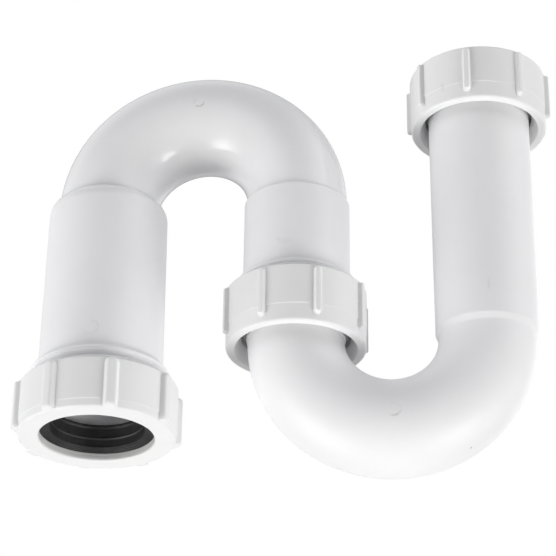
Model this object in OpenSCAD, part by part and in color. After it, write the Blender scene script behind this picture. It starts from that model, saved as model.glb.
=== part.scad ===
// Tubular swivel S-trap for a washbasin or vanity, 1 1/2 inch (40 mm) size.
// Two plastic bends joined by a union nut: the lower one holds the water seal
// and hangs from the basin waste by its inlet nut, the upper one turns over and
// ends in a wide barrel with a compression nut and a stepped rubber seal.
// Millimetres, +Z up. The origin is the centre of the inlet nut's open mouth,
// where the waste screws in. The inlet leg hangs down -Z, the union and the
// outlet lie along -X.

/* [Layout] */
// Distance from the inlet axis to the union axis
leg_spacing = 75; // [74:0.5:80]
// Distance from the union axis to the outlet axis
outlet_spacing = 78; // [77:0.5:84]
// Height of the inlet nut's mouth above the lower bend's centre
inlet_height = 119.4; // [110:0.1:170]
// Height of the upper bend's centre above the lower bend's centre
bend_rise = 62.6; // [56:0.1:90]
// Depth of the outlet nut's face below the lower bend's centre
outlet_drop = 37.6; // [34:0.1:60]
// Turn of the upper bend about the union axis in degrees, zero is in line
outlet_swivel = -4.1; // [-60:0.1:60]

/* [Lower bend] */
// Outer radius of the lower bend's tube
low_bend_r = 19.15; // [18.9:0.05:19.4]
// Outer radius of the inlet leg where it meets the bend
inlet_leg_r = 20.4; // [20:0.05:20.6]
// Draft of the inlet leg: how much wider it is at its top
inlet_leg_draft = 0.25; // [0:0.05:0.5]
// Bore radius inside the lower bend
low_bore_r = 17.1; // [16.6:0.05:17.3]
// Bore radius of the inlet leg
inlet_bore_r = 18.2; // [17.6:0.05:18.4]
// Radius of the flanges that the nuts snap over
flange_r = 22.3; // [22.2:0.05:22.4]
// Thickness of those flanges
flange_t = 2.5; // [2:0.1:3]

/* [Upper bend] */
// Outer radius of the upper bend's tube
up_bend_r = 20.25; // [20:0.05:20.6]
// Bore radius inside the upper bend
up_bore_r = 18.25; // [17.8:0.05:18.4]
// Outer radius of the straight leg above the union
union_leg_r = 21.3; // [21:0.05:21.8]
// Bore radius of that leg
union_bore_r = 19.0; // [18.7:0.05:19.3]
// Outer radius of the outlet barrel
barrel_r = 24.7; // [24.4:0.05:25]
// Bore radius of the outlet barrel, which takes the waste pipe
barrel_bore_r = 21.9; // [21.6:0.05:22]
// Draft of the barrel: how much narrower it is at its shoulder
barrel_draft = 0.55; // [0:0.05:0.8]
// Radius of the barrel's rounded shoulder
shoulder_r = 7.1; // [5:0.1:9]

/* [Threads] */
// Wall radius of the inlet and union nuts' threaded chambers, G 1 1/2
nut_thread_r = 23.9; // [23.9:0.05:24.1]
// Crest radius of the male thread on the union leg
union_thread_r = 23.82; // [23.7:0.01:23.82]
// Wall radius of the outlet nut's threaded chamber
outlet_chamber_r = 27.48; // [27.48:0.02:27.7]
// Crest radius of the male thread on the barrel
barrel_thread_r = 27.4; // [27.2:0.02:27.4]

/* [Inlet and union nuts] */
// Outer radius of the nuts between the ribs
nut_r = 28.0; // [27.6:0.1:28.4]
// Radius over the ribs
nut_rib_r = 29.85; // [29.4:0.05:30.4]
// Height of the nuts
nut_h = 24.3; // [23:0.1:27]
// Radius of the hole that the flanges snap through
nut_hole_r = 21.7; // [21.3:0.05:21.9]
// Turn of the inlet nut's ribs in degrees
inlet_nut_turn = 34; // [0:1:44]
// Turn of the union nut's ribs in degrees
union_nut_turn = 19; // [0:1:44]

/* [Outlet nut] */
// Outer radius of the outlet nut between the ribs
outlet_nut_r = 31.3; // [30.9:0.1:31.8]
// Radius over the ribs
outlet_rib_r = 33.45; // [33:0.05:34]
// Height of the outlet nut
outlet_nut_h = 21.0; // [20:0.1:24]
// Radius of the hole in its face
outlet_hole_r = 22.5; // [22.1:0.05:22.8]
// Turn of its ribs in degrees
outlet_nut_turn = 21; // [0:0.1:44]

/* [Seals] */
// Thickness of the flat rubber washers
washer_t = 2.5; // [2:0.1:3]
// Smallest bore radius of the stepped outlet seal
seal_bore_r = 17.75; // [17.4:0.05:17.9]

/* [Hidden] */
$fn = 96;

// heights in the part's own frame
zl = -inlet_height;              // lower bend's centre
zu = zl + bend_rise;             // upper bend's centre
zo = zl - outlet_drop;           // outlet nut's face
web_z = 8.1;                     // top of a nut's web above its lip
hole_z = 5.9;                    // underside of that web
union_lip = zl - 3.6;            // union nut's lip
inlet_lip = -nut_h;              // inlet nut's lip
union_flange = union_lip + web_z;
inlet_flange = inlet_lip + web_z;
leg_end = union_flange + flange_t + washer_t;   // lower end of the upper bend's leg
barrel_end = zo + 6.2;                          // lower end of the barrel
low_R = leg_spacing / 2;
up_R = outlet_spacing / 2;

// half of a bend: a tube of radius r on a centre line of radius R, below or above its centre
module low_half(R, r) { rotate([-90, 0, 0]) rotate_extrude(angle = 180) translate([R, 0]) circle(r = r); }
module up_half(R, r) { rotate([90, 0, 0]) rotate_extrude(angle = 180) translate([R, 0]) circle(r = r); }

// solid of revolution from [radius, height] pairs
module turned(points) { rotate_extrude() polygon(points); }

// points of an arc: centre, radius, first and last angle, steps
function arc(cx, cy, r, a0, a1, n) = [for (i = [0 : n]) let (a = a0 + (a1 - a0) * i / n) [cx + r * cos(a), cy + r * sin(a)]];

// eight grip ribs: straight prisms cut to a turned envelope, so their ends slope back
module ribs(r_body, r_out, half_base, half_top, z0, z1, end0, end1, turn) {
    intersection() {
        union() for (i = [0 : 7]) rotate([0, 0, turn + 45 * i])
            translate([0, 0, z0]) linear_extrude(height = z1 - z0)
                polygon([[r_body - 1.2, -half_base], [r_body, -half_base], [r_out + 0.3, -half_top],
                         [r_out + 0.3, half_top], [r_body, half_base], [r_body - 1.2, half_base]]);
        turned([[r_body - 1, z0], [r_body, z0], [r_out, z0 + end0], [r_out, z1 - end1], [r_body, z1], [r_body - 1, z1]]);
    }
}

// the nut used at the inlet and at the union: recessed cone below, web, threaded chamber above
// with a relief groove around the flange and the washer
module flange_nut(turn) {
    relief_top = web_z + flange_t + washer_t + 0.2;
    turned([[nut_r - 0.7, 0], [nut_r - 0.3, 0.4], [nut_r - 0.2, 7.4], [nut_r, 7.6], [nut_r, nut_h - 0.4],
            [nut_r - 0.5, nut_h], [nut_thread_r + 0.4, nut_h], [nut_thread_r, nut_h - 0.4],
            [nut_thread_r, relief_top], [nut_thread_r + 0.45, relief_top], [nut_thread_r + 0.45, web_z],
            [nut_hole_r, web_z], [nut_hole_r, hole_z], [24.05, 0.4], [24.35, 0]]);
    ribs(nut_r, nut_rib_r, 1.75, 1.25, 2.0, nut_h - 1.3, 1.6, 0.7, turn);
}

module trap_bend() {
    color("whitesmoke") difference() {
        union() {
            translate([-low_R, 0, zl]) low_half(low_R, low_bend_r);
            // inlet leg, with its small step above the bend
            translate([0, 0, zl]) cylinder(h = inlet_flange + flange_t - zl, r1 = inlet_leg_r, r2 = inlet_leg_r + inlet_leg_draft);
            translate([0, 0, inlet_flange]) cylinder(h = flange_t, r = flange_r);
            // short leg under the union nut
            translate([-leg_spacing, 0, zl]) cylinder(h = union_flange + flange_t - zl, r = low_bend_r + 0.45);
            translate([-leg_spacing, 0, union_flange]) cylinder(h = flange_t, r = flange_r);
        }
        union() {
            translate([-low_R, 0, zl]) low_half(low_R, low_bore_r);
            translate([0, 0, zl]) cylinder(h = inlet_height, r = inlet_bore_r);
            translate([-leg_spacing, 0, zl]) cylinder(h = 30, r = low_bore_r + 0.4);
        }
    }
}

module inlet_nut() {
    color("white") translate([0, 0, inlet_lip]) flange_nut(inlet_nut_turn);
}

module union_nut() {
    color("white") translate([-leg_spacing, 0, union_lip]) flange_nut(union_nut_turn);
}

// flat rubber ring with rounded corners
module washer() {
    turned([[inlet_bore_r + 0.2, 0.3], [inlet_bore_r + 0.5, 0], [flange_r - 0.4, 0], [flange_r - 0.1, 0.3],
            [flange_r - 0.1, washer_t - 0.3], [flange_r - 0.4, washer_t], [inlet_bore_r + 0.5, washer_t], [inlet_bore_r + 0.2, washer_t - 0.3]]);
}

module inlet_washer() {
    color("dimgray") translate([0, 0, inlet_flange + flange_t]) washer();
}

module union_washer() {
    color("dimgray") translate([-leg_spacing, 0, union_flange + flange_t]) washer();
}

// places a child about the outlet axis
module at_outlet() {
    translate([-leg_spacing, 0, 0]) rotate([0, 0, outlet_swivel]) translate([-outlet_spacing, 0, 0]) children();
}

module outlet_bend() {
    color("whitesmoke") translate([-leg_spacing, 0, 0]) rotate([0, 0, outlet_swivel]) difference() {
        union() {
            translate([-up_R, 0, zu]) up_half(up_R, up_bend_r);
            // straight leg with its threaded end, the run-out above it and the step below the bend
            turned([[0, leg_end], [union_thread_r - 0.6, leg_end], [union_thread_r, leg_end + 0.6],
                    [union_thread_r, leg_end + 15.6], [union_leg_r, leg_end + 17.0],
                    [union_leg_r, zu - 1.8], [up_bend_r + 0.1, zu], [0, zu]]);
            // outlet barrel: threaded end, run-out, straight wall and rounded shoulder
            translate([-outlet_spacing, 0, 0])
                turned(concat([[0, barrel_end], [barrel_thread_r - 0.6, barrel_end], [barrel_thread_r, barrel_end + 0.6],
                               [barrel_thread_r, zo + 27.2], [barrel_r + 0.35, zo + 28.9], [barrel_r, zo + 30.2]],
                              arc(barrel_r - barrel_draft - shoulder_r, zu - 3.9, shoulder_r, 0, 90, 10),
                              [[0, zu - 3.9 + shoulder_r]]));
        }
        union() {
            translate([-up_R, 0, zu]) up_half(up_R, up_bore_r);
            translate([0, 0, leg_end - 1]) cylinder(h = zu - leg_end + 1, r = union_bore_r);
            // barrel bore with the chamfer that the seal is pressed into, closing to the bend's bore
            translate([-outlet_spacing, 0, 0])
                turned([[0, barrel_end - 1], [barrel_bore_r + 4, barrel_end - 1], [barrel_bore_r, barrel_end + 3],
                        [barrel_bore_r, zu - 9], [up_bore_r, zu - 1], [up_bore_r, zu], [0, zu]]);
        }
    }
}

module outlet_nut() {
    color("white") at_outlet() translate([0, 0, zo]) {
        turned([[outlet_nut_r - 0.9, 0], [outlet_nut_r - 0.35, 0.6], [outlet_nut_r - 0.2, 3.6], [outlet_nut_r, 3.8],
                [outlet_nut_r, outlet_nut_h - 0.5], [outlet_nut_r - 0.5, outlet_nut_h], [outlet_chamber_r + 0.9, outlet_nut_h],
                [outlet_chamber_r, outlet_nut_h - 0.9], [outlet_chamber_r, 2.2], [outlet_hole_r, 2.2], [outlet_hole_r, 0]]);
        ribs(outlet_nut_r, outlet_rib_r, 3.0, 2.0, 0.2, outlet_nut_h - 0.2, 0.6, 0.8, outlet_nut_turn);
    }
}

module outlet_slip_ring() {
    color("ivory") at_outlet() translate([0, 0, zo + 2.2])
        turned([[outlet_hole_r, 0], [outlet_chamber_r - 0.4, 0], [outlet_chamber_r - 0.4, 1.0], [outlet_hole_r, 1.0]]);
}

module outlet_seal() {
    color("dimgray") at_outlet() translate([0, 0, zo])
        turned([[22.3, 3.2], [outlet_chamber_r - 0.7, 3.2], [outlet_chamber_r - 0.7, 6.0], [barrel_bore_r + 2.95, 6.0],
                [barrel_bore_r - 0.4, 9.35], [barrel_bore_r - 0.4, 13.2], [barrel_bore_r - 0.9, 13.7],
                [seal_bore_r, 13.7], [seal_bore_r, 12.2], [seal_bore_r + 0.4, 11.9], [seal_bore_r + 0.5, 7.8],
                [seal_bore_r + 1.0, 7.4], [seal_bore_r + 1.15, 4.2]]);
}

trap_bend();
inlet_nut();
inlet_washer();
union_nut();
union_washer();
outlet_bend();
outlet_nut();
outlet_slip_ring();
outlet_seal();
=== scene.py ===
"""Looks of the swivel S-trap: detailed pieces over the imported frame, plastics and
rubber as node materials, a pale studio and the photograph's camera.

Lengths are worked out in millimetres and turned into metres when a mesh is made.
"""
import math

import bpy
import numpy as np
from mathutils import Matrix, Vector


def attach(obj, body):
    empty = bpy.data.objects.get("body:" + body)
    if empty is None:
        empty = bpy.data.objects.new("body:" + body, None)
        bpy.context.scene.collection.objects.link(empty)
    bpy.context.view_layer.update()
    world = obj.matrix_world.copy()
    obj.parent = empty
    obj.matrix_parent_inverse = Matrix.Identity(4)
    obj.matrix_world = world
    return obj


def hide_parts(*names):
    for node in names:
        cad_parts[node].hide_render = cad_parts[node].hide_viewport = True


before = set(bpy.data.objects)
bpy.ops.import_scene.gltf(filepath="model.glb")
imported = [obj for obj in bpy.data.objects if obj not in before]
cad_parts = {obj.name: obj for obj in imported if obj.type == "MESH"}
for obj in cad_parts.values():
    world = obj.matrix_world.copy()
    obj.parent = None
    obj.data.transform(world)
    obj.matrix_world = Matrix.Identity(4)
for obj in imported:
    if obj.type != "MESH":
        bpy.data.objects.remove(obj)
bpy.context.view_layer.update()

# ---------------------------------------------------------------- dimensions
ZL, ZU, ZO = -119.4, -56.8, -157.0      # lower bend, upper bend, outlet nut's face
LOW_R, UP_R = 37.5, 39.0                # centre-line radii of the two bends
SWIVEL = math.radians(-4.1)
UNION = (-75.0, 0.0)
OUTLET = (-75.0 - 78.0 * math.cos(SWIVEL), -78.0 * math.sin(SWIVEL))
NUT_H, WEB, HOLE = 24.3, 8.1, 5.9
UNION_LIP, INLET_LIP = ZL - 3.6, -NUT_H
LEG_END = UNION_LIP + WEB + 5.0
BARREL_END = ZO + 6.2
PITCH, PITCH_OUT = 2.309, 3.0
TAU = 2 * math.pi


# ---------------------------------------------------------------- outlines
def step_points(a, b, step):
    """Points of a straight from a towards b without b, with one close to each end."""
    a, b = np.array(a, float), np.array(b, float)
    length = float(np.linalg.norm(b - a))
    if length < 1e-6:
        return []
    n = max(1, int(round(length / step)))
    ts = set(np.linspace(0, 1, n + 1)[:-1].tolist())
    if length > 1.2:
        ts |= {0.18 / length, 1 - 0.18 / length}
    return [a + (b - a) * t for t in sorted(ts)]


def rounded(points, step=1.5, arc_steps=5, closed=False):
    """An outline from [(a, b, fillet)], its corners rounded and its straights cut into steps."""
    pts = [np.array(p[:2], float) for p in points]
    fil = [p[2] if len(p) > 2 else 0.0 for p in points]
    n = len(pts)
    corners = []
    for i in range(n):
        if not closed and i in (0, n - 1) or fil[i] <= 0:
            corners.append([pts[i]])
            continue
        p, q, r = pts[i - 1], pts[i], pts[(i + 1) % n]
        u, v = p - q, r - q
        lu, lv = np.linalg.norm(u), np.linalg.norm(v)
        u, v = u / lu, v / lv
        ang = math.acos(max(-1, min(1, float(u @ v))))
        if ang > math.pi - 0.02:
            corners.append([q])
            continue
        t = min(fil[i] / math.tan(ang / 2), 0.48 * lu, 0.48 * lv)
        rad = t * math.tan(ang / 2)
        centre = q + (u + v) / np.linalg.norm(u + v) * (rad / math.sin(ang / 2))
        s, e = q + u * t, q + v * t
        a0 = math.atan2(*(s - centre)[::-1])
        a1 = math.atan2(*(e - centre)[::-1])
        d = (a1 - a0 + math.pi) % TAU - math.pi
        k = max(2, int(round(arc_steps * abs(d) / (math.pi / 2))) + 1)
        corners.append([centre + rad * np.array([math.cos(a0 + d * j / k), math.sin(a0 + d * j / k)]) for j in range(k + 1)])
    out = []
    for i in range(n if closed else n - 1):
        c, nxt = corners[i], corners[(i + 1) % n]
        out += c[:-1]
        out += step_points(c[-1], nxt[0], step)
    if not closed:
        out += corners[-1]
    return np.array(out)


def unique_rows(p, tol=1e-4):
    keep = [0]
    for i in range(1, len(p)):
        if np.linalg.norm(p[i] - p[keep[-1]]) > tol:
            keep.append(i)
    if np.linalg.norm(p[keep[-1]] - p[0]) < tol:
        keep.pop()
    return p[keep]


def smax(a, b, k):
    return 0.5 * (a + b + np.sqrt((a - b) ** 2 + k * k))


def smin(a, b, k):
    return 0.5 * (a + b - np.sqrt((a - b) ** 2 + k * k))


def smooth(t):
    t = np.clip(t, 0, 1)
    return t * t * (3 - 2 * t)


def thread_wave(theta, z, pitch):
    """0 at the thread's crest, 1 in its root; right-handed, slightly rounded."""
    t = (z / pitch - theta / TAU) % 1.0
    tri = np.abs(2 * t - 1)
    return np.clip((tri - 0.5) * 1.16 + 0.5, 0.0, 1.0) * 0.86 + 0.14 * (0.5 + 0.5 * np.cos(TAU * t))


# ---------------------------------------------------------------- meshes
def make(name, P, material, body, nodes):
    """A closed piece from a grid of points that joins up both ways."""
    n, m = P.shape[:2]
    idx = np.arange(n * m).reshape(n, m)
    quads = np.stack([idx, np.roll(idx, -1, 1), np.roll(np.roll(idx, -1, 0), -1, 1), np.roll(idx, -1, 0)], -1).reshape(-1, 4)
    V = P.reshape(-1, 3)
    a, b, c, d = (V[quads[:, i]] for i in range(4))
    vol = np.einsum("ij,ij->i", a, np.cross(b, c)).sum() + np.einsum("ij,ij->i", a, np.cross(c, d)).sum()
    if vol < 0:
        quads = quads[:, ::-1]
    me = bpy.data.meshes.new(name)
    me.vertices.add(len(V))
    me.vertices.foreach_set("co", (V * 0.001).astype(np.float32).ravel())
    me.loops.add(quads.size)
    me.loops.foreach_set("vertex_index", quads.astype(np.int32).ravel())
    me.polygons.add(len(quads))
    me.polygons.foreach_set("loop_start", np.arange(0, quads.size, 4, dtype=np.int32))
    me.polygons.foreach_set("use_smooth", np.ones(len(quads), bool))
    me.update(calc_edges=True)
    me.validate()
    me.materials.append(material)
    ob = bpy.data.objects.new(name, me)
    bpy.context.scene.collection.objects.link(ob)
    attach(ob, body)
    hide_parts(*nodes)
    return ob


def turned(outline, theta, axis, lift=None):
    """Grid of a solid of revolution; lift(r, z, theta) returns the radius to use."""
    r, z = outline[:, :1], outline[:, 1:]
    T = np.broadcast_to(theta[None, :], (len(outline), len(theta)))
    R = np.broadcast_to(r, T.shape).copy()
    Z = np.broadcast_to(z, T.shape).copy()
    if lift is not None:
        R = lift(R, Z, T)
    return np.stack([axis[0] + R * np.cos(T), axis[1] + R * np.sin(T), Z], -1)


def rib_section(half_base, half_top, height, edge, foot):
    """(offset, height) samples across one rib."""
    p = [(-half_base - 2.2, 0), (-half_base, 0, foot), (-half_top, height, edge), (half_top, height, edge),
         (half_base, 0, foot), (half_base + 2.2, 0)]
    return rounded(p, step=0.45, arc_steps=7)


def rib_columns(section, r_body, phase, count=8, gap_step=2.0):
    """Angles round a nut and how far each is from the middle of the nearest rib."""
    u = section[:, 0]
    pitch = TAU / count
    edge = u[-1] / r_body
    n = max(3, int(round((pitch - 2 * edge) * r_body / gap_step)))
    gap = np.linspace(edge, pitch - edge, n + 1)[1:-1]
    one_t = np.concatenate([u / r_body, gap])
    one_u = np.concatenate([np.abs(u), np.full(len(gap), 9.0)])
    th = np.concatenate([phase + i * pitch + one_t for i in range(count)])
    uu = np.tile(one_u, count)
    order = np.argsort(th % TAU, kind="stable")
    return (th % TAU)[order], uu[order]


def rib_height(section, u, z, low, high, low_round, high_round):
    """Height of a rib with rounded ends between two heights."""
    right = section[section[:, 0] >= 0]
    out = np.maximum(low + low_round - z, 0) + np.maximum(z - (high - high_round), 0)
    return np.interp(np.hypot(u, out), right[:, 0], right[:, 1])


# ---------------------------------------------------------------- materials
def nodes_of(name):
    mat = bpy.data.materials.new(name)
    mat.use_nodes = True
    nt = mat.node_tree
    nt.nodes.clear()
    out = nt.nodes.new("ShaderNodeOutputMaterial")
    sh = nt.nodes.new("ShaderNodeBsdfPrincipled")
    nt.links.new(sh.outputs[0], out.inputs[0])
    co = nt.nodes.new("ShaderNodeTexCoord")
    return mat, nt, sh, co


def noise(nt, co, scale, detail=3.0, rough=0.55, stretch=None):
    nz = nt.nodes.new("ShaderNodeTexNoise")
    nz.inputs["Scale"].default_value = scale
    nz.inputs["Detail"].default_value = detail
    nz.inputs["Roughness"].default_value = rough
    src = co.outputs["Object"]
    if stretch:
        mp = nt.nodes.new("ShaderNodeMapping")
        mp.inputs["Scale"].default_value = stretch
        nt.links.new(src, mp.inputs["Vector"])
        src = mp.outputs[0]
    nt.links.new(src, nz.inputs["Vector"])
    return nz.outputs["Fac"]


def ramp(nt, fac, lo, hi, c0, c1):
    r = nt.nodes.new("ShaderNodeValToRGB")
    r.color_ramp.elements[0].position = lo
    r.color_ramp.elements[1].position = hi
    r.color_ramp.elements[0].color = (*c0, 1)
    r.color_ramp.elements[1].color = (*c1, 1)
    nt.links.new(fac, r.inputs[0])
    return r.outputs[0]


def spread(nt, fac, lo, hi, to_lo, to_hi):
    m = nt.nodes.new("ShaderNodeMapRange")
    m.inputs["From Min"].default_value = lo
    m.inputs["From Max"].default_value = hi
    m.inputs["To Min"].default_value = to_lo
    m.inputs["To Max"].default_value = to_hi
    nt.links.new(fac, m.inputs["Value"])
    return m.outputs[0]


def calc(nt, op, a, b):
    n = nt.nodes.new("ShaderNodeMath")
    n.operation = op
    for i, v in enumerate((a, b)):
        if isinstance(v, (int, float)):
            n.inputs[i].default_value = v
        else:
            nt.links.new(v, n.inputs[i])
    return n.outputs[0]


def mix_colour(nt, fac, a, b):
    m = nt.nodes.new("ShaderNodeMix")
    m.data_type = "RGBA"
    nt.links.new(fac, m.inputs["Factor"])
    for sock, v in ((m.inputs["A"], a), (m.inputs["B"], b)):
        if isinstance(v, tuple):
            sock.default_value = (*v, 1)
        else:
            nt.links.new(v, sock)
    return m.outputs["Result"]


def bump(nt, sh, height, strength, distance):
    b = nt.nodes.new("ShaderNodeBump")
    b.inputs["Strength"].default_value = strength
    b.inputs["Distance"].default_value = distance
    nt.links.new(height, b.inputs["Height"])
    nt.links.new(b.outputs[0], sh.inputs["Normal"])


def near(nt, co, point, inner, outer, squeeze=(1, 1, 1)):
    """1 within inner metres of a point, 0 beyond outer."""
    mp = nt.nodes.new("ShaderNodeMapping")
    mp.vector_type = "POINT"
    mp.inputs["Location"].default_value = tuple(-p * s for p, s in zip(point, squeeze))
    mp.inputs["Scale"].default_value = squeeze
    nt.links.new(co.outputs["Object"], mp.inputs["Vector"])
    ln = nt.nodes.new("ShaderNodeVectorMath")
    ln.operation = "LENGTH"
    nt.links.new(mp.outputs[0], ln.inputs[0])
    return spread(nt, ln.outputs["Value"], inner, outer, 1, 0)


def towards(nt, co, point, way, reach):
    """0 on one side of a point, rising to 1 at reach metres along way."""
    gap = nt.nodes.new("ShaderNodeVectorMath")
    gap.operation = "SUBTRACT"
    gap.inputs[1].default_value = point
    nt.links.new(co.outputs["Object"], gap.inputs[0])
    dot = nt.nodes.new("ShaderNodeVectorMath")
    dot.operation = "DOT_PRODUCT"
    dot.inputs[1].default_value = way
    nt.links.new(gap.outputs["Vector"], dot.inputs[0])
    return spread(nt, dot.outputs["Value"], -reach, reach, 0.0, 1.0)


def white_plastic(name, light, dark, rough, stains_and_painted_shade=(), shine=None, rings=()):
    """Moulded polypropylene: slightly uneven white, satin skin with faint flow marks.

    shine = (height, roughness above it): a part of the mould that was polished.
    rings = (point, radius, amount, way): an ejector mark, with a broken dark ring over its groove that is darker along
    way."""
    mat, nt, sh, co = nodes_of(name)
    cloud = noise(nt, co, 38.0, 4.0, 0.6)
    colour = ramp(nt, cloud, 0.30, 0.72, dark, light)
    speck = noise(nt, co, 900.0, 2.0, 0.5)
    fine = spread(nt, speck, 0.66, 0.80, 0.0, 0.10)
    colour = mix_colour(nt, fine, colour, tuple(0.86 * v for v in dark))
    # each entry tints a round patch: real stains and specks, and on the nuts painted shade in the holes round the
    # pipes
    for point, inner, outer, squeeze, tint, amount in stains_and_painted_shade:
        mask = near(nt, co, point, inner, outer, squeeze)
        colour = mix_colour(nt, calc(nt, "MULTIPLY", mask, amount), colour, tint)
    for point, radius, amount, way in rings:
        # a dark ring over the ejector groove, broken into patches, darkest along way and fading out on the far side
        ring_patches = spread(nt, noise(nt, co, 330.0, 3.0, 0.6), 0.40, 0.58, 0.10 * amount, amount)
        within = near(nt, co, point, radius + 0.00010, radius + 0.00060)
        middle = near(nt, co, point, radius - 0.00060, radius - 0.00010)
        ring = calc(nt, "MULTIPLY", ring_patches, calc(nt, "SUBTRACT", within, middle))
        ring = calc(nt, "MULTIPLY", ring, towards(nt, co, point, way, 0.9 * radius))
        colour = mix_colour(nt, ring, colour, (0.30, 0.29, 0.28))
    nt.links.new(colour, sh.inputs["Base Color"])
    sheen = noise(nt, co, 60.0, 2.0, 0.5)
    skin = spread(nt, sheen, 0.3, 0.7, rough - 0.03, rough + 0.04)
    if shine:
        split = nt.nodes.new("ShaderNodeSeparateXYZ")
        nt.links.new(co.outputs["Object"], split.inputs[0])
        above = spread(nt, split.outputs["Z"], shine[0] - 0.004, shine[0] + 0.004, 0.0, 1.0)
        blend = nt.nodes.new("ShaderNodeMix")
        nt.links.new(above, blend.inputs["Factor"])
        nt.links.new(skin, blend.inputs["A"])
        nt.links.new(spread(nt, sheen, 0.3, 0.7, shine[1] - 0.02, shine[1] + 0.02), blend.inputs["B"])
        skin = blend.outputs["Result"]
    nt.links.new(skin, sh.inputs["Roughness"])
    sh.inputs["IOR"].default_value = 1.49
    sh.inputs["Specular IOR Level"].default_value = 0.35
    orange = noise(nt, co, 420.0, 3.0, 0.55)
    bump(nt, sh, orange, 0.10, 0.00012)
    return mat


def rubber(name, light, dark, rough):
    """Black moulded rubber, a little dusty, with the grain of its mould."""
    mat, nt, sh, co = nodes_of(name)
    dust = noise(nt, co, 160.0, 5.0, 0.65)
    nt.links.new(ramp(nt, dust, 0.35, 0.75, dark, light), sh.inputs["Base Color"])
    grain = noise(nt, co, 1100.0, 4.0, 0.65)
    nt.links.new(spread(nt, grain, 0.3, 0.7, rough - 0.07, rough + 0.08), sh.inputs["Roughness"])
    sh.inputs["IOR"].default_value = 1.44
    bump(nt, sh, grain, 0.55, 0.00016)
    return mat


WHITE = (0.869, 0.868, 0.876)
OFF = (0.839, 0.838, 0.847)
PIPE = white_plastic("pipe_plastic", WHITE, OFF, 0.40,
                     stains_and_painted_shade=[((-0.00809, -0.00501, -0.16704), 0.00012, 0.00055, (1, 1, 1), (0.22, 0.21, 0.20), 0.75),
                             ((0.00035, -0.0205, -0.1052), 0.00010, 0.00075, (1, 1, 0.20), (0.62, 0.62, 0.63), 0.35)],
                     rings=[((-0.03715, -0.01915, -0.15660), 0.00265, 0.42, (0.94, 0, -0.34))])
PIPE_UP = white_plastic("pipe_plastic_upper", WHITE, OFF, 0.36, shine=(-0.0568, 0.07),
                        stains_and_painted_shade=[((-0.0785, -0.0211, -0.0850), 0.0004, 0.0021, (0.55, 1, 1), (0.70, 0.70, 0.71), 0.28),
                                ((-0.0813, -0.0205, -0.0838), 0.0001, 0.0009, (1, 1, 0.6), (0.66, 0.66, 0.66), 0.30)],
                        rings=[((-0.11468, -0.01747, -0.01735), 0.00215, 0.48, (0, 0, -1)),
                               ((-0.15339, -0.01892, -0.12031), 0.0026, 0.16, (1, 0, 0))])
NUT = white_plastic("nut_plastic", (0.855, 0.854, 0.853), (0.825, 0.824, 0.825), 0.42,
                    stains_and_painted_shade=[((-0.0152, -0.0235, -0.0169), 0.0003, 0.0014, (1.2, 1, 0.5), (0.62, 0.61, 0.56), 0.32),
                            # painted shade: near-black rings on the inlet and union nuts' hole walls, in the gap round
                            # each leg
                            ((0.0, 0.0, -0.0173), 0.0221, 0.0226, (1, 1, 3), (0.10, 0.09, 0.085), 0.70),
                            ((-0.075, 0.0, -0.1160), 0.0221, 0.0226, (1, 1, 3), (0.10, 0.09, 0.085), 0.40),
                            # painted shade: a grey ring darkening the outlet nut's hole wall below the seal
                            ((-0.1528, 0.00558, -0.15565), 0.0228, 0.0234, (1, 1, 4), (0.52, 0.52, 0.51), 0.5)])
# the slip ring is painted greyer than the other white parts: painted shade on its wall in the outlet nut's hole
RING = white_plastic("ring_plastic", (0.68, 0.68, 0.665), (0.62, 0.62, 0.61), 0.45)
SEAL = rubber("seal_rubber", (0.028, 0.027, 0.028), (0.009, 0.009, 0.009), 0.48)
WASHER = rubber("washer_rubber", (0.040, 0.040, 0.041), (0.016, 0.016, 0.017), 0.55)


# ---------------------------------------------------------------- lower bend
def ring_mark(points, centre, normal, radius, depth, width=0.45):
    """Outline of an ejector pin: how far a fine round groove is cut in, at each point."""
    normal = np.array(normal) / np.linalg.norm(normal)
    d = points - np.array(centre)
    along = d @ normal
    q = np.linalg.norm(d - along[..., None] * normal, axis=-1)
    return np.where(np.abs(along) < 3.0, depth * np.exp(-(((q - radius) / width) ** 2)), 0.0)


def columns(base, dense=(), spacing=0.018, reach=0.30):
    """Angles round a tube, closer together near each dense angle."""
    grid = np.linspace(0, TAU, 2001)
    want = np.full(grid.shape, TAU / base)
    for d in dense:
        away = np.abs((grid - d + math.pi) % TAU - math.pi)
        w = smooth((reach + 0.15 - away) / 0.15)
        want = want * (1 - w) + spacing * w
    total = np.concatenate([[0], np.cumsum(np.diff(grid) / want[:-1])])
    n = int(round(total[-1]))
    return np.interp(np.linspace(0, total[-1], n + 1)[:-1], total, grid)


def cut_steps(p, where, reach, step):
    """More rows of an outline near a place along it."""
    out = []
    for i in range(len(p) - 1):
        out.append(p[i])
        mid = (p[i] + p[i + 1]) / 2
        gap = np.linalg.norm(p[i + 1] - p[i])
        if any(abs(mid[0] - w) < reach for w in where) and gap > step:
            k = int(math.ceil(gap / step))
            out += [p[i] + (p[i + 1] - p[i]) * j / k for j in range(1, k)]
    out.append(p[-1])
    return np.array(out)


def low_path(s, l1):
    """Centre (x, z) and outward direction of the lower bend's centre line at s."""
    phi = np.clip((s - l1) / LOW_R, 0, math.pi)
    down = np.minimum(s, l1)
    up = np.maximum(s - l1 - math.pi * LOW_R, 0)
    x = -LOW_R + LOW_R * np.cos(phi)
    z = ZL + (l1 - down) - LOW_R * np.sin(phi) + up
    return x, z, np.cos(phi), -np.sin(phi)


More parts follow.
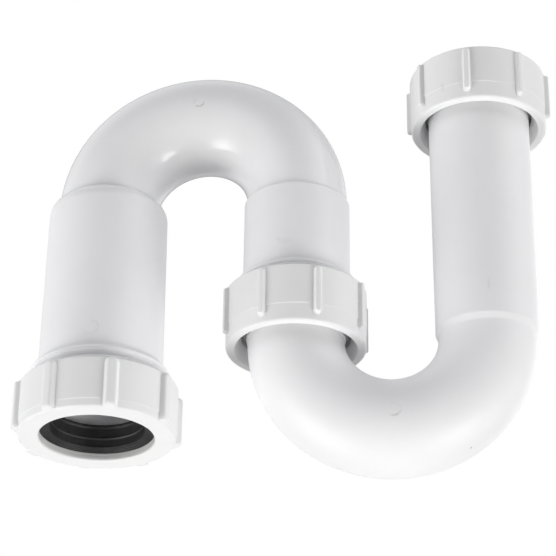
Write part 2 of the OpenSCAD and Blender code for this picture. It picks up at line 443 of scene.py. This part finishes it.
def trap_bend():
    top = INLET_LIP + WEB + 2.5
    l1 = top - ZL
    l2 = l1 + math.pi * LOW_R
    l3 = l2 + (UNION_LIP + WEB + 2.5 - ZL)
    # rows along the outside, s then radius
    outer = rounded([(0, 20.0), (0, 22.3, 0.35), (2.5, 22.3, 0.35), (2.5, 20.65, 0.3), (l1 - 2.7, 20.22, 1.0),
                     (l1 - 0.1, 19.22, 1.4), (l1 + 3.0, 19.15), (l2 - 2.0, 19.15), (l2 - 0.2, 19.17, 0.4), (l2 + 0.5, 19.6, 0.3),
                     (l3 - 2.5, 19.6, 0.3), (l3 - 2.5, 22.3, 0.35), (l3, 22.3, 0.35), (l3, 20.0)], step=1.5)
    outer = cut_steps(outer, [l1 + LOW_R * math.radians(a) for a in (89.5, 168.8)], 4.2, 0.26)
    inner = rounded([(l3, 20.0), (l3, 17.5, 0.3), (l2, 17.5, 0.2), (l2 - 0.6, 17.1, 0.3), (l1 + 1.0, 17.1, 0.3),
                     (l1 - 2.0, 18.2, 0.6), (0, 18.2, 0.4), (0, 20.0)], step=2.6)
    n_out = len(outer)
    rows = np.concatenate([outer, inner[1:-1]])
    theta = columns(132, dense=[math.radians(-90.0)], reach=0.2)
    s = rows[:, 0]
    rho = np.broadcast_to(rows[:, 1:], (len(rows), len(theta))).copy()
    x, z, ex, ez = low_path(s, l1)
    c, sn = np.cos(theta)[None], np.sin(theta)[None]

    def place(rho):
        return np.stack([x[:, None] + rho * c * ex[:, None], rho * sn + 0 * x[:, None], z[:, None] + rho * c * ez[:, None]], -1)

    P = place(rho)
    cut = sum(ring_mark(P, *m) for m in LOW_MARKS)
    P = place(rho - np.where((np.arange(len(rows)) < n_out)[:, None], cut, 0))
    return make("trap_bend_moulding", P, PIPE, "trap", ["trap_bend"])


# ---------------------------------------------------------------- upper bend
def dome_radius(z):
    """Outside radius of the barrel's shoulder at a height above the upper bend's centre."""
    z0, rs, top_r = -3.9, 7.1, 24.15
    d = np.clip(z - z0, 0, None)
    r = np.where(d < rs, top_r - rs + np.sqrt(np.clip(rs * rs - d * d, 0, None)), -1.0)
    return r


def up_path(s, l1):
    """Centre (x, z) and outward direction of the upper bend's centre line, in its own upright plane."""
    phi = np.clip((s - l1) / UP_R, 0, math.pi)
    up = np.minimum(s, l1)
    down = np.maximum(s - l1 - math.pi * UP_R, 0)
    x = -UP_R + UP_R * np.cos(phi)
    z = LEG_END + up + UP_R * np.sin(phi) - down
    return x, z, np.cos(phi), np.sin(phi)


def outlet_bend():
    l1 = ZU - LEG_END
    l2 = l1 + math.pi * UP_R
    l3 = l2 + (ZU - BARREL_END)
    collar = 15.6
    leg = rounded([(0, 20.6), (0, 23.22, 0.15), (0.6, 23.82, 0.1), (collar, 23.82, 0.35), (collar + 1.4, 21.35, 0.5),
                   (l1 - 1.9, 21.3, 0.4), (l1 - 0.9, 20.5, 0.5), (l1 + 0.4, 20.27, 0.3), (l1 + 3.0, 20.25)], step=1.6)
    leg = cut_steps(leg, [collar / 2], collar / 2 - 0.3, 0.22)
    bend_s = np.concatenate([np.arange(l1 + 4.4, l2 - 16.5, 1.35), np.arange(l2 - 16.2, l2 - 0.1, 0.34)])
    bend = np.stack([bend_s, np.full(len(bend_s), 20.25)], -1)
    bend = cut_steps(bend, [l1 + UP_R * math.radians(88.5)], 4.0, 0.26)
    zs = np.linspace(0, -3.9, 14)
    shoulder = np.stack([l2 - zs, dome_radius(zs)], -1)
    wall = rounded([(l2 + 4.2, 24.152), (l2 + (ZU - (ZO + 30.2)), 24.7, 0.6), (l2 + (ZU - (ZO + 28.9)), 25.05, 0.3),
                    (l2 + (ZU - (ZO + 27.2)), 27.4, 0.35), (l3 - 0.6, 27.4, 0.1), (l3, 26.8, 0.2), (l3, 25.9)], step=2.2)
    run = l2 + (ZU - (ZO + 27.2))
    wall = cut_steps(wall, [(run + l3) / 2], (l3 - run) / 2 - 0.3, 0.26)
    wall = cut_steps(wall, [l2 + 63.5], 4.0, 0.26)
    outer = np.concatenate([leg, bend, shoulder, wall])
    inner = rounded([(l3, 25.9), (l3, 24.9, 0.2), (l3 - 3, 21.9, 0.5), (l2 + 9, 21.9, 1.5), (l2 + 1, 18.25, 1.5), (l1 + 1.0, 18.25, 0.4),
                     (l1 - 0.4, 19.0, 0.4), (0, 19.0, 0.4), (0, 20.6)], step=2.8)
    rows = np.concatenate([outer, inner[1:-1]])
    n_out = len(outer)
    theta = columns(132, dense=[math.radians(-90.0)], reach=0.17)
    s = rows[:, 0]
    rho = np.broadcast_to(rows[:, 1:], (len(rows), len(theta))).copy()
    x, z, ex, ez = up_path(s, l1)
    c, sn = np.cos(theta)[None], np.sin(theta)[None]
    is_out = np.arange(len(rows)) < n_out
    # the bend's tube leaves through the barrel's shoulder
    zone = np.where(is_out & (s > l2 - 16) & (s < l2 - 0.05))[0]
    steps = np.arange(12.0, 30.0, 0.05)
    for i in zone:
        px = x[i] + steps[:, None] * c * ex[i]
        pz = z[i] - ZU + steps[:, None] * c * ez[i]
        py = steps[:, None] * sn
        g = dome_radius(pz) - np.hypot(px + 2 * UP_R, py)
        inside = g > 0
        last = np.where(inside.any(0), len(steps) - 1 - np.argmax(inside[::-1], 0), 0)
        got = np.where(inside.any(0), steps[last], 15.0)
        g0 = np.take_along_axis(g, last[None], 0)[0]
        g1 = np.take_along_axis(g, np.minimum(last + 1, len(steps) - 1)[None], 0)[0]
        got = got + np.where(inside.any(0) & (g1 < g0), 0.05 * g0 / np.maximum(g0 - g1, 1e-6), 0)
        rho[i] = smax(rho[i], got, 0.22)
    # threads on the leg's end and on the barrel; local angle is measured about each upright axis
    ca, sa = math.cos(SWIVEL), math.sin(SWIVEL)
    zz = z[:, None] + 0 * theta[None]

    def world_angle(sign):
        return np.arctan2(sn, c * sign) + SWIVEL

    leg_rows = is_out & (s > 0.3) & (s < collar - 0.7) & (rows[:, 1] > 23.3)
    fade = smooth((s - 0.3) / 0.9) * smooth((collar - 1.0 - s) / 0.9)
    w = thread_wave(world_angle(1.0) + 0 * zz, zz, PITCH)
    rho = rho - np.where(leg_rows[:, None], 1.35 * w * fade[:, None], 0)
    bar_rows = is_out & (s > run + 0.2) & (s < l3 - 0.2) & (rows[:, 1] > 26.9)
    fade = smooth((s - run - 0.6) / 1.2) * smooth((l3 - 0.3 - s) / 1.0)
    w = thread_wave(world_angle(-1.0) + 0 * zz, zz, PITCH_OUT)
    rho = rho - np.where(bar_rows[:, None], 1.45 * w * fade[:, None], 0)

    def place(rho):
        lx = x[:, None] + rho * c * ex[:, None]
        ly = rho * sn + 0 * x[:, None]
        lz = z[:, None] + rho * c * ez[:, None]
        return np.stack([UNION[0] + lx * ca - ly * sa, UNION[1] + lx * sa + ly * ca, lz], -1)

    P = place(rho)
    cut = sum(ring_mark(P, *m) for m in UP_MARKS)
    P = place(rho - np.where(is_out[:, None], cut, 0))
    return make("outlet_bend_moulding", P, PIPE_UP, "outlet_bend", ["outlet_bend"])


# ---------------------------------------------------------------- nuts
def flange_nut(name, node, lip, axis, turn, body, material):
    """Ribbed nut with a recessed cone below, a web and a threaded chamber above."""
    relief = WEB + 5.2
    line = rounded([(27.7, 0.0, 1.0), (27.82, 7.18, 0.12), (28.0, 7.6, 0.12), (28.0, NUT_H - 0.45, 0.4), (27.5, NUT_H, 0.35),
                    (24.3, NUT_H, 0.15), (23.9, NUT_H - 0.4, 0.1), (23.9, relief, 0.1), (24.35, relief, 0.1), (24.35, WEB, 0.2),
                    (21.7, WEB, 0.3), (21.7, HOLE, 0.35), (24.0, 0.45, 0.35), (24.4, 0.0, 0.3)], step=0.9, closed=True)
    line = unique_rows(line)
    # closer rows down the ribs and along the inside thread
    out = []
    n = len(line)
    for i in range(n):
        a, b = line[i], line[(i + 1) % n]
        out.append(a)
        gap = np.linalg.norm(b - a)
        on_thread = a[0] < 24.0 and a[0] > 23.8 and b[0] < 24.0 and a[1] > relief - 0.1
        on_wall = a[0] > 27.2 and b[0] > 27.2 and (1.8 < a[1] < 5.6 or a[1] > NUT_H - 3.6)
        if (on_thread or on_wall) and gap > 0.28:
            k = int(math.ceil(gap / 0.28))
            out += [a + (b - a) * j / k for j in range(1, k)]
    line = np.array(out)
    sec = rib_section(1.55, 0.92, 1.85, 0.50, 0.22)
    theta, u = rib_columns(sec, 28.0, math.radians(turn))

    def lift(R, Z, T):
        outer = (R > 27.2) & (Z > 1.5) & (Z < NUT_H - 0.6)
        rib = rib_height(sec, u[None], Z, 2.75, NUT_H - 0.9, 1.72, 1.4)
        # the ribs stand on the upper wall's radius, so the skirt line dies against them
        R2 = R + np.where(outer, rib * 1.0 + np.where(rib > 0.15, np.clip(28.0 - R, 0, 0.3) * smooth(rib / 0.6), 0), 0)
        inside = (R < 24.0) & (R > 23.8) & (Z > relief - 0.05)
        fade = smooth((Z - relief) / 0.8) * smooth((NUT_H - 0.35 - Z) / 0.9)
        w = thread_wave(T, Z + lip, PITCH)
        return np.where(inside, R2 - 1.35 * fade * w, R2)

    P = turned(line, theta, (0, 0), lift)
    P = P + np.array([axis[0], axis[1], lip])
    return make(name, P, material, body, [node])


def outlet_nut():
    height, chamber = 21.0, 27.48
    line = rounded([(30.4, 0.0, 0.55), (30.98, 0.7, 0.5), (31.12, 3.35, 0.15), (31.3, 3.8, 0.15), (31.3, height - 0.5, 0.45), (30.8, height, 0.4),
                    (chamber + 0.9, height, 0.2), (chamber, height - 0.9, 0.15), (chamber, 2.2, 0.3), (22.5, 2.2, 0.15), (22.5, 0.0, 0.95)],
                   step=0.9, closed=True)
    line = unique_rows(line)
    out = []
    n = len(line)
    for i in range(n):
        a, b = line[i], line[(i + 1) % n]
        out.append(a)
        gap = np.linalg.norm(b - a)
        on_thread = abs(a[0] - chamber) < 0.05 and abs(b[0] - chamber) < 0.05 and a[1] > 6
        on_wall = a[0] > 30.3 and b[0] > 30.3 and (a[1] < 2.6 or a[1] > height - 4)
        if (on_thread or on_wall) and gap > 0.26:
            k = int(math.ceil(gap / 0.26))
            out += [a + (b - a) * j / k for j in range(1, k)]
    line = np.array(out)
    turn = math.radians(21.0) + SWIVEL
    sec = rib_section(2.8, 1.75, 2.15, 1.2, 0.5)
    theta, u = rib_columns(sec, 31.3, turn, gap_step=2.2)
    lower = np.clip((line[:, 1] + 0.1) / 0.75, 0, 4) * 2.15

    def lift(R, Z, T):
        outer = (R > 30.5) & (Z > 0.05) & (Z < height - 0.1)
        H = rib_height(sec, u[None], Z, -9.0, height - 0.1, 3.0, 2.6)
        rib = np.where(H > 1e-6, np.maximum(smin(H, lower[:, None], 0.35), 0), 0)
        rib = rib + np.where(Z > 1.2, np.clip(31.3 - R, 0, 0.3) * smooth(rib / 0.6), 0)
        R2 = R + np.where(outer, rib, 0)
        inside = (np.abs(R - chamber) < 0.05) & (Z > 6.3)
        fade = smooth((Z - 6.5) / 1.0) * smooth((height - 0.6 - Z) / 1.0)
        w = thread_wave(T, Z + ZO, PITCH_OUT)
        return np.where(inside, R2 - 1.45 * fade * w, R2)

    P = turned(line, theta, (0, 0), lift)
    P = P + np.array([OUTLET[0], OUTLET[1], ZO])
    return make("outlet_nut_moulding", P, NUT, "outlet_nut", ["outlet_nut"])


# ---------------------------------------------------------------- seals
def washer(name, node, z, axis, body):
    line = rounded([(18.4, 0.0, 0.3), (22.2, 0.0, 0.3), (22.2, 2.5, 0.3), (18.4, 2.5, 0.3)], step=0.9, closed=True)
    theta = np.linspace(0, TAU, 161)[:-1]
    P = turned(unique_rows(line), theta, (0, 0)) + np.array([axis[0], axis[1], z])
    return make(name, P, WASHER, body, [node])


def outlet_seal():
    """Stepped rubber sleeve: a flat rim below, three lips on the inside that a pipe stretches."""
    line = rounded([(22.3, 3.2, 0.25), (26.78, 3.2, 0.3), (26.78, 6.0, 0.3), (24.85, 6.0, 0.4), (21.5, 9.35, 0.5), (21.5, 13.2, 0.3), (21.0, 13.7, 0.2),
                    (18.2, 13.7, 0.3), (17.75, 13.45, 0.2), (17.75, 12.45, 0.25), (18.12, 11.8, 0.3), (18.22, 8.35, 0.3),
                    (17.98, 8.1, 0.15), (17.98, 7.75, 0.15), (18.55, 7.35, 0.3), (18.85, 4.75, 0.3), (18.62, 4.5, 0.15), (18.7, 4.05, 0.25), (20.1, 3.86, 0.06), (20.25, 3.68, 0.06), (21.2, 3.55, 0.06), (21.3, 3.38, 0.06)],
                   step=0.7, closed=True)
    theta = np.linspace(0, TAU, 193)[:-1]
    P = turned(unique_rows(line), theta, (0, 0)) + np.array([OUTLET[0], OUTLET[1], ZO])
    return make("outlet_seal_sleeve", P, SEAL, "outlet_seal", ["outlet_seal"])


def slip_ring():
    line = rounded([(22.5, 2.2, 0.15), (27.08, 2.2, 0.2), (27.08, 3.2, 0.2), (22.5, 3.2, 0.15)], step=0.9, closed=True)
    theta = np.linspace(0, TAU, 161)[:-1]
    P = turned(unique_rows(line), theta, (0, 0)) + np.array([OUTLET[0], OUTLET[1], ZO])
    return make("outlet_slip_ring_disc", P, RING, "outlet_seal", ["outlet_slip_ring"])


# ejector marks: centre, outward direction, radius, depth
LOW_MARKS = (((-37.15, -19.15, -156.60), (0, -1, 0), 2.65, 0.05), ((-74.29, -19.15, -126.42), (0, -1, 0), 2.5, 0.05))
UP_MARKS = (((-114.68, -17.47, -17.35), (-0.071, -0.997, 0.004), 2.15, 0.05), ((-153.39, -18.92, -120.31), (-0.024, -1, 0), 2.6, 0.07))

trap_bend()
outlet_bend()
flange_nut("inlet_nut_moulding", "inlet_nut", INLET_LIP, (0, 0), 34, "inlet_nut", NUT)
flange_nut("union_nut_moulding", "union_nut", UNION_LIP, UNION, 19.7, "union_nut", NUT)
outlet_nut()
washer("inlet_washer_ring", "inlet_washer", INLET_LIP + WEB + 2.5, (0, 0), "trap")
washer("union_washer_ring", "union_washer", UNION_LIP + WEB + 2.5, UNION, "union_washer")
outlet_seal()
slip_ring()

# ---------------------------------------------------------------- camera
PITCH_UP, YAW, ROLL = math.radians(27.643), math.radians(-3.519), math.radians(0.692)
fw = Vector((math.sin(YAW) * math.cos(PITCH_UP), math.cos(YAW) * math.cos(PITCH_UP), math.sin(PITCH_UP)))
right = Vector((math.cos(YAW), -math.sin(YAW), 0))
up = right.cross(fw)
right2 = right * math.cos(ROLL) + up * math.sin(ROLL)
up2 = up * math.cos(ROLL) - right * math.sin(ROLL)
cam_data = bpy.data.cameras.new("camera")
cam_data.sensor_width = 36.0
cam_data.lens = 2009.24 / 556 * 36.0
cam_data.clip_start, cam_data.clip_end = 0.05, 20.0
cam = bpy.data.objects.new("camera", cam_data)
bpy.context.scene.collection.objects.link(cam)
m = Matrix.Identity(4)
for i, v in enumerate((right2, up2, -fw)):
    for j in range(3):
        m[j][i] = v[j]
m.translation = Vector((-0.038692, -0.711192, -0.463718))
cam.matrix_world = m
bpy.context.scene.camera = cam

# ---------------------------------------------------------------- studio
floor_me = bpy.data.meshes.new("floor")
floor_me.from_pydata([(-6, -6, -1.35), (6, -6, -1.35), (6, 6, -1.35), (-6, 6, -1.35)], [], [(0, 1, 2, 3)])
floor = bpy.data.objects.new("floor", floor_me)
bpy.context.scene.collection.objects.link(floor)
fmat, fnt, fsh, fco = nodes_of("floor_paint")
nt_noise = noise(fnt, fco, 1.5, 2.0)
fnt.links.new(ramp(fnt, nt_noise, 0.3, 0.7, (0.86, 0.86, 0.86), (0.90, 0.90, 0.90)), fsh.inputs["Base Color"])
fsh.inputs["Roughness"].default_value = 0.8
fsh.inputs["Emission Color"].default_value = (1.0, 1.0, 1.0, 1.0)
inner_floor = near(fnt, fco, (0, 0, -1.35), 1.0, 5.4)       # it fades into the white studio at its rim
fnt.links.new(spread(fnt, inner_floor, 0.0, 1.0, 0.30, 0.0), fsh.inputs["Emission Strength"])
floor_me.materials.append(fmat)
for way in ("visible_diffuse", "visible_glossy", "visible_transmission", "visible_shadow"):
    setattr(floor, way, False)      # the low lights reach the trap through it

scene = bpy.context.scene
scene.view_settings.view_transform = "Standard"
scene.view_settings.look = "None"
world = bpy.data.worlds.new("studio")
scene.world = world
world.use_nodes = True
wn = world.node_tree
wn.nodes.clear()
wout = wn.nodes.new("ShaderNodeOutputWorld")
sky = wn.nodes.new("ShaderNodeTexCoord")


def glow(direction, strength, tightness=16.0):
    """Soft round light far away in one direction."""
    d = wn.nodes.new("ShaderNodeVectorMath")
    d.operation = "DOT_PRODUCT"
    d.inputs[1].default_value = Vector(direction).normalized()
    wn.links.new(sky.outputs["Generated"], d.inputs[0])
    return calc(wn, "MULTIPLY", calc(wn, "POWER", calc(wn, "MAXIMUM", d.outputs["Value"], 0.0), tightness), strength)


# big soft lights: neutral ones low on either side, slightly cooler fill above, behind and by the camera
def glows(items, colour, start):
    total = start
    for item in items:
        total = calc(wn, "ADD", glow(*item), total)
    bg = wn.nodes.new("ShaderNodeBackground")
    bg.inputs[0].default_value = (*colour, 1)
    wn.links.new(total, bg.inputs[1])
    return bg.outputs[0]


key = glows([((-0.74, -0.17, -0.65), 6.3), ((0.64, -0.36, -0.68), 2.75), ((0.84, 0.04, -0.54), 2.35)], (1.0, 1.0, 0.994), 0.0)
fill = glows([((0.76, -0.17, 0.63), 2.2), ((-0.91, -0.29, 0.29), 1.55), ((-0.58, -0.69, 0.43), 1.5), ((0.62, -0.62, 0.49), 1.5),
              ((0.47, 0.82, 0.32), 1.45), ((-0.68, 0.73, 0.01), 1.15), ((0.36, 0.89, -0.26), 0.95), ((-0.21, 0.19, 0.96), 0.9, 5.0),
              ((-0.18, 0.98, -0.12), 0.9), ((-0.63, 0.26, 0.74), 0.35, 5.0)], (0.985, 0.985, 1.0), 0.05)
both = wn.nodes.new("ShaderNodeAddShader")
wn.links.new(key, both.inputs[0])
wn.links.new(fill, both.inputs[1])
seen = wn.nodes.new("ShaderNodeBackground")
seen.inputs[0].default_value = (1, 1, 1, 1)
seen.inputs[1].default_value = 1.0
path = wn.nodes.new("ShaderNodeLightPath")
mixw = wn.nodes.new("ShaderNodeMixShader")
wn.links.new(path.outputs["Is Camera Ray"], mixw.inputs[0])
wn.links.new(both.outputs[0], mixw.inputs[1])
wn.links.new(seen.outputs[0], mixw.inputs[2])
wn.links.new(mixw.outputs[0], wout.inputs[0])


def softbox(name, direction, size, watts):
    """Square light 1.1 m from the middle of the trap, facing it; the camera doesn't see it."""
    v = Vector(direction).normalized()
    light = bpy.data.lights.new(name, "AREA")
    light.shape = "SQUARE"
    light.size = size
    light.energy = watts
    ob = bpy.data.objects.new(name, light)
    bpy.context.scene.collection.objects.link(ob)
    ob.location = Vector((-0.078, 0, -0.09)) + v * 1.1
    ob.rotation_mode = "QUATERNION"
    ob.rotation_quaternion = v.to_track_quat("Z", "Y")
    ob.visible_camera = False


softbox("softbox_left", (-0.697, -0.320, -0.642), 0.45, 1.15)
softbox("softbox_right", (0.630, -0.315, -0.710), 0.42, 2.8)
